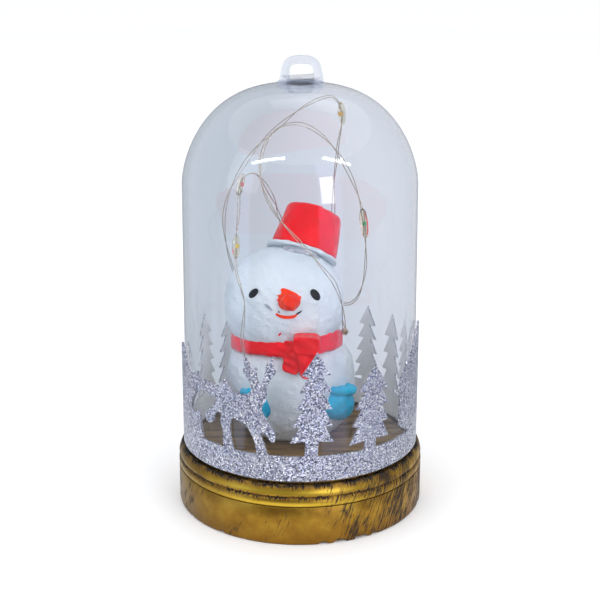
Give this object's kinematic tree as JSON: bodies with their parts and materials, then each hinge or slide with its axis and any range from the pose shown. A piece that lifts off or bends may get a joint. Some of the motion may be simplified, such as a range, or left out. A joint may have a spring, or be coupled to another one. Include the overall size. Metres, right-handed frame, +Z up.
{
  "type": "snow globe",
  "caption": "Bell-jar snowman ornament: clear domed cover on a round gold base holding a battery light string, with a hanging loop.",
  "frame": {"origin": "centre of the base's foot ring, on the surface it stands on", "axes": "+Z up through the dome and its loop, the snowman's face towards -Y, +X to the right as seen from the front"},
  "size_m": [0.075, 0.075, 0.1356],
  "materials": {
    "gold_paint": "moulded plastic, dark undercoat, dry-brushed satin gold",
    "black_plastic": "fine moulded texture",
    "steel": "zinc plated",
    "cell_steel": "nickel plated",
    "brass": "stamped strip",
    "wire": "enamelled fine wire",
    "glue": "hot melt",
    "epoxy": "clear drop over a small lamp chip",
    "plaster": "rough, matt white",
    "red_paint": "glossy, hand brushed",
    "orange_paint": "glossy, hand brushed",
    "blue_paint": "satin, hand brushed",
    "clear_plastic": "clear, polished",
    "glitter": "silver glitter film"
  },
  "bodies": {
    "base": {"base_cap": "gold_paint", "base_skirt": "gold_paint", "bottom_plate": "black_plastic", "plate_screw_1": "steel", "plate_screw_2": "steel", "plate_screw_3": "steel", "button_cell_1": "cell_steel", "button_cell_2": "cell_steel", "button_cell_3": "cell_steel", "positive_contact": "brass", "negative_spring": "steel", "switch_body": "black_plastic", "switch_lead": "wire", "string_lead_positive": "wire", "string_lead_negative": "wire", "wire_glue_plug": "glue", "light_string": "wire", "light_bead_1": "epoxy", "light_bead_2": "epoxy", "light_bead_3": "epoxy", "light_bead_4": "epoxy", "light_bead_5": "epoxy", "light_bead_6": "epoxy", "light_bead_7": "epoxy", "snowman_body": "plaster", "snowman_hat": "red_paint", "snowman_scarf": "red_paint", "snowman_nose": "orange_paint", "mitten_right": "blue_paint", "mitten_left": "blue_paint"},
    "dome": {"dome_cover": "clear_plastic", "hanging_loop": "clear_plastic", "glitter_band": "glitter"},
    "battery_door": {"battery_door": "black_plastic"},
    "door_screw": {"battery_door_screw": "steel"},
    "switch": {"switch_slider": "black_plastic"}
  },
  "joints": [
    {"name": "dome_lift", "type": "slide", "parent": "base", "child": "dome", "axis": [0, 0, 1], "range_m": [0, 0.118]},
    {"name": "battery_door_off", "type": "slide", "parent": "base", "child": "battery_door", "axis": [0, 0, -1], "range_m": [0, 0.02]},
    {"name": "door_screw_turn", "type": "hinge", "parent": "battery_door", "child": "door_screw", "pos_m": [0.0146, 0.009, 0.003], "axis": [0, 0, 1], "continuous": true},
    {"name": "switch_slide", "type": "slide", "parent": "base", "child": "switch", "axis": [1, 0, 0], "range_m": [0, 0.0025]}
  ]
}
